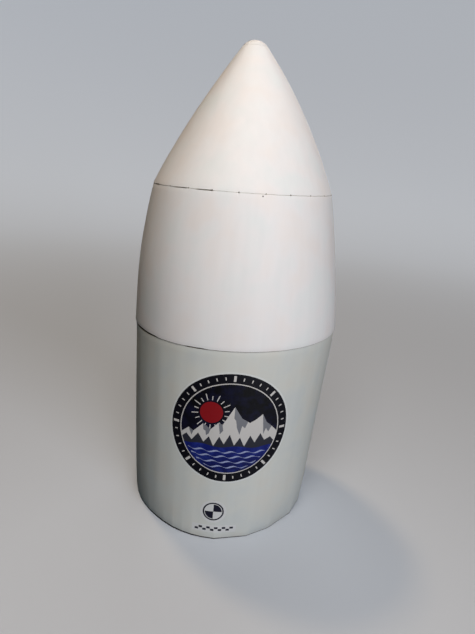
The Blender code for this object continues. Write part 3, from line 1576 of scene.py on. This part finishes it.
@dataclass
class Print:
    """Flat artwork laid on the lower wall, each colour a thin skin of toner that follows the card."""

    wall: LowerWall
    angle: float
    height: float
    skin: float = 0.02 * MM
    layer_step: float = 0.025 * MM
    weld: float = 1e-7

    def flat(self, shapes: Sequence[Sequence[Loop]]) -> bmesh.types.BMesh:
        """Fill shapes on the sheet, and part them at the wall's upright rows of points.

        Args:
            shapes: Each shape is an outer loop and any holes.

        Returns:
            A mesh whose points are (angle, height, 0).
        """
        shape = bmesh.new()
        for loops in shapes:
            outlines = [[Vector((u, v, 0.0)) for u, v in loop] for loop in loops]
            corners = [shape.verts.new(point) for outline in outlines for point in outline]
            for face in tessellate_polygon(outlines):
                shape.faces.new([corners[index] for index in face])
        for vert in shape.verts:
            height = self.height + vert.co.y
            radius = float(self.wall.outline.radius(np.array([height]))[0])
            vert.co = (self.angle + vert.co.x / radius, height, 0.0)
        turned = (self.wall.columns + math.pi) % math.tau - math.pi
        first = min(vert.co.x for vert in shape.verts)
        last = max(vert.co.x for vert in shape.verts)
        for column in sorted(turned[(turned > first) & (turned < last)]):
            bmesh.ops.bisect_plane(
                shape, geom=[*shape.verts, *shape.edges, *shape.faces], dist=self.weld,
                plane_co=(column, 0, 0), plane_no=(1, 0, 0),
            )
        bmesh.ops.remove_doubles(shape, verts=shape.verts, dist=self.weld)
        for face in list(shape.faces):
            if face.normal.z < 0:
                face.normal_flip()
        return shape

    def lay(self, name: str, shapes: Sequence[Sequence[Loop]], finish: TonerPrint, layer: int) -> Piece:
        """Print shapes in one colour.

        Args:
            name: The piece's name.
            shapes: Each shape is an outer loop and any holes.
            finish: The ink.
            layer: How many skins lie under it.

        Returns:
            The piece.
        """
        shape = self.flat(shapes)
        shape.verts.index_update()
        angle = np.array([vert.co.x for vert in shape.verts])
        height = np.array([vert.co.y for vert in shape.verts])
        base = self.wall.radius(angle, height)
        top = self.layer_step * (layer + 1)
        places = []
        for lift in (top, top - self.skin):
            radius = base + lift
            places.append(np.stack([radius * np.cos(angle), radius * np.sin(angle), height], axis=-1))
        count = len(angle)
        faces = []
        for face in shape.faces:
            front = [vert.index for vert in face.verts]
            faces.append(front)
            faces.append([index + count for index in reversed(front)])
            for loop in face.loops:
                if loop.edge.is_boundary:
                    here = loop.vert.index
                    after = loop.link_loop_next.vert.index
                    faces.append([after, here, here + count, after + count])
        shape.free()
        mesh = bpy.data.meshes.new(name)
        mesh.from_pydata(np.concatenate(places).tolist(), [], faces)
        return add_piece(name, close_mesh(mesh), (finish.material(),), Body.BASE)


@dataclass
class Badge:
    """A round printed badge: a mountain range at night over water, in a dark ring of ticks."""

    wall: LowerWall
    angle: float = math.radians(-87.6)
    height: float = 64.6 * MM
    radius: float = 29.5 * MM
    line_radius: float = 24.7 * MM
    line_width: float = 0.5 * MM
    halo: float = 0.9 * MM
    tick_count: int = 40
    long_tick_every: int = 5
    # Each tick's half length and width.
    tick_size: tuple[float, float] = (0.75 * MM, 0.55 * MM)
    long_tick_size: tuple[float, float] = (1.5 * MM, 1.21 * MM)
    sun: tuple[float, float] = (-9.5 * MM, 8.5 * MM)
    sun_radius: float = 5.6 * MM
    ray_count: int = 18
    ray_gap: float = 0.9 * MM
    ray_lengths: tuple[float, float] = (2.2 * MM, 3.4 * MM)
    ray_width: float = 0.45 * MM
    shore_height: float = -9.5 * MM
    wave_heights: tuple[float, ...] = (-12.2 * MM, -14.9 * MM, -17.8 * MM, -20.6 * MM)
    wave_length: float = 7.5 * MM
    wave_shift: float = 3.1 * MM
    wave_margin: float = 1.2 * MM
    crest_ripple: float = 0.55 * MM
    trough_ripple: float = 0.45 * MM
    trough_lag: float = 1.0 * MM
    foam_width: float = 0.55 * MM
    shore_ripple: float = 0.5 * MM
    shore_length: float = 17 * MM

    # The night sky's black lifts to navy low down, with soft blue haze in it.
    night = TonerPrint("toner_night_sky", "#040408", "#0b0b1c", (0.060, 0.078), "#181a40", 0.45)
    # Dense navy is nearly black, so the ring reads as one dark band.
    ring_ink = TonerPrint("toner_dark_navy", "#0a0a14")
    # The ticks and lines are a white that looks a little grey beside bare card.
    white_ink = TonerPrint("toner_pale_white", "#d3cfc8")
    # Snow, slopes and rock all darken a little towards their foot, as if in mist.
    snow_ink = TonerPrint("toner_snow_white", "#d6d2cb", "#c9c6c1", (0.045, 0.080))
    shade_ink = TonerPrint("toner_mid_grey", "#85868a", "#6c6e74", (0.045, 0.080))
    rock_ink = TonerPrint("toner_rock_grey", "#3a3b44", "#23242e", (0.045, 0.080))
    # A deep, full red is the badge's only warm spot.
    sun_ink = TonerPrint("toner_deep_red", "#8e1219")
    # The water is mottled with a lighter blue, and deepens downwards.
    water_ink = TonerPrint("toner_deep_blue", "#101d6e", "#0d1244", (0.040, 0.056), "#2b3c96", 0.6)
    # Pale grey-blue lifts the thin crests off the water.
    foam_ink = TonerPrint("toner_pale_blue", "#9aa3c4")
    # The badge was cut out with a thin margin of whiter paper round it.
    halo_ink = TonerPrint("toner_paper_halo", "#dfe1dc")

    # The mountains' skyline, and the lower edge of their snow in long points.
    ridge = Line.of_points(
        (-25, -6), (-20, -1.5), (-17.5, -3), (-13, 2.0), (-9, -0.5), (-5.5, 3.5), (-3.5, 2.5), (1.5, 12.5),
        (5.5, 6.5), (9.5, 4.0), (12, 5.5), (15.5, 8.5), (18, 4.0), (21.5, 1.0), (25, -2.5),
    )
    snow_line = Line.of_points(
        (-25, -9), (-21, -5), (-18, -8), (-15, -3.5), (-12, -8), (-9.5, -4.5), (-7, -9.5), (-4.5, -4),
        (-2, -8), (0.5, -2.5), (3, -8.5), (5.5, -4), (8, -9), (10.5, -3), (13, -7), (15.5, -2), (18, -6),
        (21, -4.5), (25, -9),
    )
    # The slopes that face away from the sun, one below each peak, in millimetres.
    slopes = (
        ((-13, 2.0), (-9, -0.5), (-9.8, -3.0), (-11.0, -4.2), (-11.4, -1.8), (-12.6, -1.2)),
        ((-20, -1.5), (-17.5, -3), (-18.2, -5.4), (-19.2, -3.6)),
        ((1.5, 12.5), (5.5, 6.5), (8.5, 4.6), (7.4, 1.2), (5.9, 2.4), (5.0, -2.4), (3.4, 1.4), (2.7, 5.2),
         (1.7, 6.4)),
        ((15.5, 8.5), (18, 4.0), (21, 1.4), (19.6, -1.6), (18.1, 0.6), (17.0, -2.6), (16.4, 2.2)),
        ((-5.5, 3.5), (-3.5, 2.5), (-2.9, -0.6), (-4.4, -2.6), (-4.9, 0.4)),
    )

    def level_line(self, height: float, *ripple: float) -> Line:
        """A line straight across at one height, with a ripple's height, length and start if wanted."""
        return Line((-self.radius, self.radius), (height, height), *ripple)

    def waves(self, radius: float) -> list[list[Loop]]:
        """The thin crests of foam on the water.

        Args:
            radius: The circle that they stay in.

        Returns:
            Their shapes.
        """
        shapes = []
        for number, height in enumerate(self.wave_heights):
            start = number * self.wave_shift
            trough_start = start + self.trough_lag
            below = height - self.foam_width
            crest = self.level_line(height, self.crest_ripple, self.wave_length, start)
            trough = self.level_line(below, self.trough_ripple, self.wave_length, trough_start)
            shapes += band(crest, trough, radius)
        return shapes

    def ticks(self) -> list[list[Loop]]:
        """The ring's tick marks.

        Returns:
            Their shapes.
        """
        shapes = []
        middle = (self.radius + self.line_radius) / 2
        for number in range(self.tick_count):
            half, width = self.tick_size if number % self.long_tick_every else self.long_tick_size
            turn = math.tau * number / self.tick_count
            shapes.append([radial_bar(turn, middle - half, middle + half, width)])
        return shapes

    def rays(self) -> list[list[Loop]]:
        """The sun's rays, short and long by turns.

        Returns:
            Their shapes.
        """
        shapes = []
        start = self.sun_radius + self.ray_gap
        for number in range(self.ray_count):
            turn = math.tau * (number + 0.5) / self.ray_count
            end = start + self.ray_lengths[number % 2]
            shapes.append([radial_bar(turn, start, end, self.ray_width, self.sun)])
        return shapes

    def build(self) -> list[Piece]:
        """Print the badge, colour by colour.

        Returns:
            The pieces.
        """
        sheet = Print(self.wall, self.angle, self.height)
        inside = self.line_radius - self.line_width
        shore = self.level_line(self.shore_height, self.shore_ripple, self.shore_length)
        bottom = self.level_line(-self.radius)
        shade = [[[(x * MM, y * MM) for x, y in slope]] for slope in self.slopes]
        line = [circle(self.line_radius, steps=128), circle(inside, steps=128)]
        # Each row has the piece's name, its shapes, its ink, and how many skins lie under it.
        colours = (
            ("badge_halo", [[circle(self.radius + self.halo)]], self.halo_ink, 0),
            ("badge_ring", [[circle(self.radius, steps=160)]], self.ring_ink, 1),
            ("badge_sky", [[circle(inside, steps=128)]], self.night, 2),
            ("badge_line", [line], self.white_ink, 3),
            ("badge_ticks", self.ticks(), self.white_ink, 2),
            ("badge_sun", [[circle(self.sun_radius, self.sun, steps=48)]], self.sun_ink, 3),
            ("badge_rays", self.rays(), self.white_ink, 3),
            ("badge_rock", band(self.ridge, shore, inside), self.rock_ink, 4),
            ("badge_snow", band(self.ridge, self.snow_line, inside), self.snow_ink, 5),
            ("badge_shade", shade, self.shade_ink, 6),
            ("badge_water", band(shore, bottom, inside), self.water_ink, 5),
            ("badge_waves", self.waves(inside - self.wave_margin), self.foam_ink, 6),
        )
        return [sheet.lay(*colour) for colour in colours]


@dataclass
class ScaleMark:
    """A small printed mark: a quartered disc over a short chequered scale bar, on a paler patch."""

    wall: LowerWall
    angle: float = math.radians(-91.9)
    height: float = 16.6 * MM
    radius: float = 5.4 * MM
    line_width: float = 0.75 * MM
    quarter_gap: float = 0.35 * MM
    bar_drop: float = 10.6 * MM
    bar_shift: float = 1.1 * MM
    bar_length: float = 20.0 * MM
    bar_height: float = 2.4 * MM
    bar_blocks: int = 10
    block_gap: float = 0.1 * MM
    patch_margin: float = 1.4 * MM
    bar_margin: float = 0.98 * MM

    # Blue-black stays crisp in small marks.
    dark_ink = TonerPrint("toner_blue_black", "#1c1c2c")
    # The patch behind them is a shade whiter than the grey print round it.
    patch_ink = TonerPrint("toner_paper_patch", "#dcdcd8")

    def quarter(self, start: float, radius: float) -> Loop:
        """A quarter of a disc, from an angle."""
        return [(0.0, 0.0), *arc(radius, start, math.pi / 2, 16)]

    def build(self) -> list[Piece]:
        """Print the mark.

        Returns:
            The pieces.
        """
        sheet = Print(self.wall, self.angle, self.height)
        inner = self.radius - self.line_width
        left = self.bar_shift - self.bar_length / 2
        right = self.bar_shift + self.bar_length / 2
        low = -self.bar_drop - self.bar_height / 2
        block = self.bar_length / self.bar_blocks
        rise = self.bar_height / 2
        marks = [[circle(self.radius, steps=64), circle(inner, steps=64)]]
        marks += [[self.quarter(start, inner - self.quarter_gap)] for start in (0.0, math.pi)]
        for number in range(self.bar_blocks):
            start = left + number * block + self.block_gap
            end = left + (number + 1) * block - self.block_gap
            foot = low + rise * (number % 2)
            marks.append([rectangle(start, foot, end, foot + rise)])
        margin = self.patch_margin
        foot, top = low - self.bar_margin, low + self.bar_height + self.bar_margin
        bar = rectangle(left - margin, foot, right + margin, top)
        patches = [[circle(self.radius + margin, steps=64)], [bar]]
        return [
            sheet.lay("mark_patch", patches, self.patch_ink, 0),
            sheet.lay("mark_print", marks, self.dark_ink, 1),
        ]


# Studio


@dataclass(frozen=True)
class AreaLamp:
    """A square soft lamp, which points at the model's middle."""

    name: str
    place: tuple[float, float, float]
    side: float
    watts: float
    colour: str
    aim: tuple[float, float, float] = (0.0, 0.0, 0.12)

    def build(self) -> None:
        """Hang the lamp."""
        data = bpy.data.lights.new(self.name, "AREA")
        data.shape = "SQUARE"
        data.size = self.side
        data.energy = self.watts
        data.color = linear(self.colour)[:3]
        lamp = put_in_scene(self.name, data)
        lamp.visible_camera = False
        lamp.location = self.place
        toward = Vector(self.aim) - Vector(self.place)
        lamp.rotation_euler = toward.to_track_quat("-Z", "Y").to_euler()


@dataclass
class Studio:
    """A plain pale floor that curves up into a wall all round, soft lamps and a pale world."""

    floor_radius: float = 0.9
    bend_radius: float = 1.3
    bend_steps: int = 24
    wall_height: float = 2.6
    around: int = 96
    glow_radius: float = 1.5
    # The floor and the reflector lie a hair under the model's foot.
    floor_drop: float = 0.05 * MM
    reflector_drop: float = 0.08 * MM
    cloud_size: float = 0.25
    floor_colour: str = "#d3d9e1"
    floor_cloud: str = "#d2d8e0"
    # The paper is lit from behind a little, and more away from the lamps, so that it is pale all round.
    glow_colour: str = "#e9eff6"
    floor_glow: float = 0.05
    wall_glow: float = 0.34
    world_colour: str = "#f2e9df"
    world_strength: float = 0.02
    reflector_side: float = 0.36
    reflector_colour: str = "#234d68"
    lamps: tuple[AreaLamp, ...] = (
        AreaLamp("lamp_overhead", (-0.028, -0.32, 0.503), 0.25, 1.16, "#fff9f3"),
        AreaLamp("lamp_front_right", (1.652, -2.449, 0.641), 1.50, 51.5, "#f3f5ff"),
        AreaLamp("lamp_high_behind_left", (-0.427, 0.413, 1.606), 0.14, 4.9, "#f6d5aa"),
        AreaLamp("lamp_behind", (0.510, 2.890, 0.744), 2.10, 25.0, "#ffffff"),
    )

    def put(self, mesh: Mesh, material: Material, height: float) -> bpy.types.Object:
        """Put a sheet in the scene as stage, unseen in the model's gloss.

        Args:
            mesh: The sheet.
            material: Its finish.
            height: Where it lies.

        Returns:
            The sheet's object.
        """
        mesh.materials.append(material)
        sheet = put_in_scene(mesh.name, mesh)
        sheet.location.z = height
        sheet.visible_glossy = False
        return sheet

    def paper(self) -> Material:
        """The floor's finish: matt studio paper, an even pale grey with the faintest clouds.

        Returns:
            The material.
        """
        material, tree, shader = new_material("matt_studio_paper")
        place = add_node(tree, "ShaderNodeTexCoord").outputs["Object"]
        clouds = add_node(
            tree, "ShaderNodeTexNoise",
            inputs={"Vector": place, "Scale": 1 / self.cloud_size, "Detail": 1.0},
        )
        colour = add_node(
            tree, "ShaderNodeMix", BLEND,
            {"Factor": clouds.outputs["Fac"], COLOUR_A: linear(self.floor_colour),
             COLOUR_B: linear(self.floor_cloud)},
        )
        away = add_node(tree, "ShaderNodeVectorMath", {"operation": "LENGTH"}, {0: place})
        glow = add_node(
            tree, "ShaderNodeMapRange", SMOOTH,
            {"Value": away.outputs["Value"], "From Min": 0.1, "From Max": self.glow_radius,
             "To Min": self.floor_glow, "To Max": self.wall_glow},
        )
        feed(shader, {
            "Base Color": colour.outputs[MIXED], "Roughness": 0.95, "Specular IOR Level": 0.1,
            "Emission Color": linear(self.glow_colour), "Emission Strength": glow.outputs["Result"],
        })
        return material

    def floor(self) -> None:
        """Build the floor."""
        wall = self.floor_radius + self.bend_radius
        section = [(0.0, 0.0), (self.floor_radius, 0.0)]
        for step in range(1, self.bend_steps + 1):
            turn = math.pi / 2 * step / self.bend_steps
            out, up = math.sin(turn), 1 - math.cos(turn)
            section.append((self.floor_radius + self.bend_radius * out, self.bend_radius * up))
        section.append((wall, self.wall_height))
        mesh = turned_mesh("studio_floor", section, self.around)
        mesh.shade_smooth()
        floor = self.put(mesh, self.paper(), -self.floor_drop)
        # A pale floor would throw light up on the model's shaded side, so it gives none back.
        floor.visible_diffuse = False
        # The far lamps stand outside the paper and shine through it, so they leave no bright patch on it.
        floor.visible_shadow = False

    def reflector(self) -> None:
        """Lay a blue sheet under the model that only throws a little cool light up on it."""
        reach = self.reflector_side / 2
        mesh = bpy.data.meshes.new("blue_reflector")
        corners = [(x, y, 0.0) for x, y in rectangle(-reach, -reach, reach, reach)]
        mesh.from_pydata(corners, [], [(0, 1, 2, 3)])
        material, _, shader = new_material("matt_blue_paper")
        feed(shader, {"Base Color": linear(self.reflector_colour), "Roughness": 0.95})
        sheet = self.put(mesh, material, -self.reflector_drop)
        sheet.visible_camera = False

    def build(self) -> None:
        """Build the floor, the reflector, the lamps and the world."""
        self.floor()
        self.reflector()
        for lamp in self.lamps:
            lamp.build()
        world = bpy.data.worlds.new("pale_room")
        world.use_nodes = True
        feed(world.node_tree.nodes["Background"], {
            "Color": linear(self.world_colour), "Strength": self.world_strength,
        })
        bpy.context.scene.world = world
        bpy.context.scene.view_settings.view_transform = "Standard"
        bpy.context.scene.view_settings.look = "None"


@dataclass(frozen=True)
class Viewpoint:
    """The hand-held camera: above the model's middle, close in front, and rolled a little."""

    place: tuple[float, float, float] = (0.0, -0.27186, 0.18663)
    yaw: float = math.radians(0.437)
    pitch: float = math.radians(-16.581)
    roll: float = math.radians(4.714)
    focal_pixels: float = 512.4
    long_side_pixels: int = 634
    sensor: float = 36.0

    def build(self) -> None:
        """Set up the scene's camera."""
        data = bpy.data.cameras.new("hand_held")
        data.sensor_width = self.sensor
        data.sensor_fit = "AUTO"
        data.lens = self.focal_pixels / self.long_side_pixels * self.sensor
        data.clip_start = 0.01
        data.clip_end = 20.0
        camera = put_in_scene("hand_held", data)
        turn = (
            Matrix.Rotation(-self.yaw, 4, "Z")
            @ Matrix.Rotation(math.pi / 2 + self.pitch, 4, "X")
            @ Matrix.Rotation(self.roll, 4, "Z")
        )
        camera.matrix_world = Matrix.Translation(self.place) @ turn
        bpy.context.scene.camera = camera


def main() -> None:
    """Build the camera, the studio, the base, the cover and the prints, and report each piece."""
    logging.basicConfig(level=logging.INFO, format="%(name)s: %(message)s")
    Viewpoint().build()
    Studio().build()
    materials = FINISHES.built()
    seams = Seams()
    base = Base(seams)
    pieces = base.build(materials) + Cover(seams).build(materials)
    pieces += Badge(base.wall).build() + ScaleMark(base.wall).build()
    for piece in pieces:
        LOG.info("%s: %d faces", piece.name, len(piece.data.polygons))


if __name__ == "__main__":
    main()
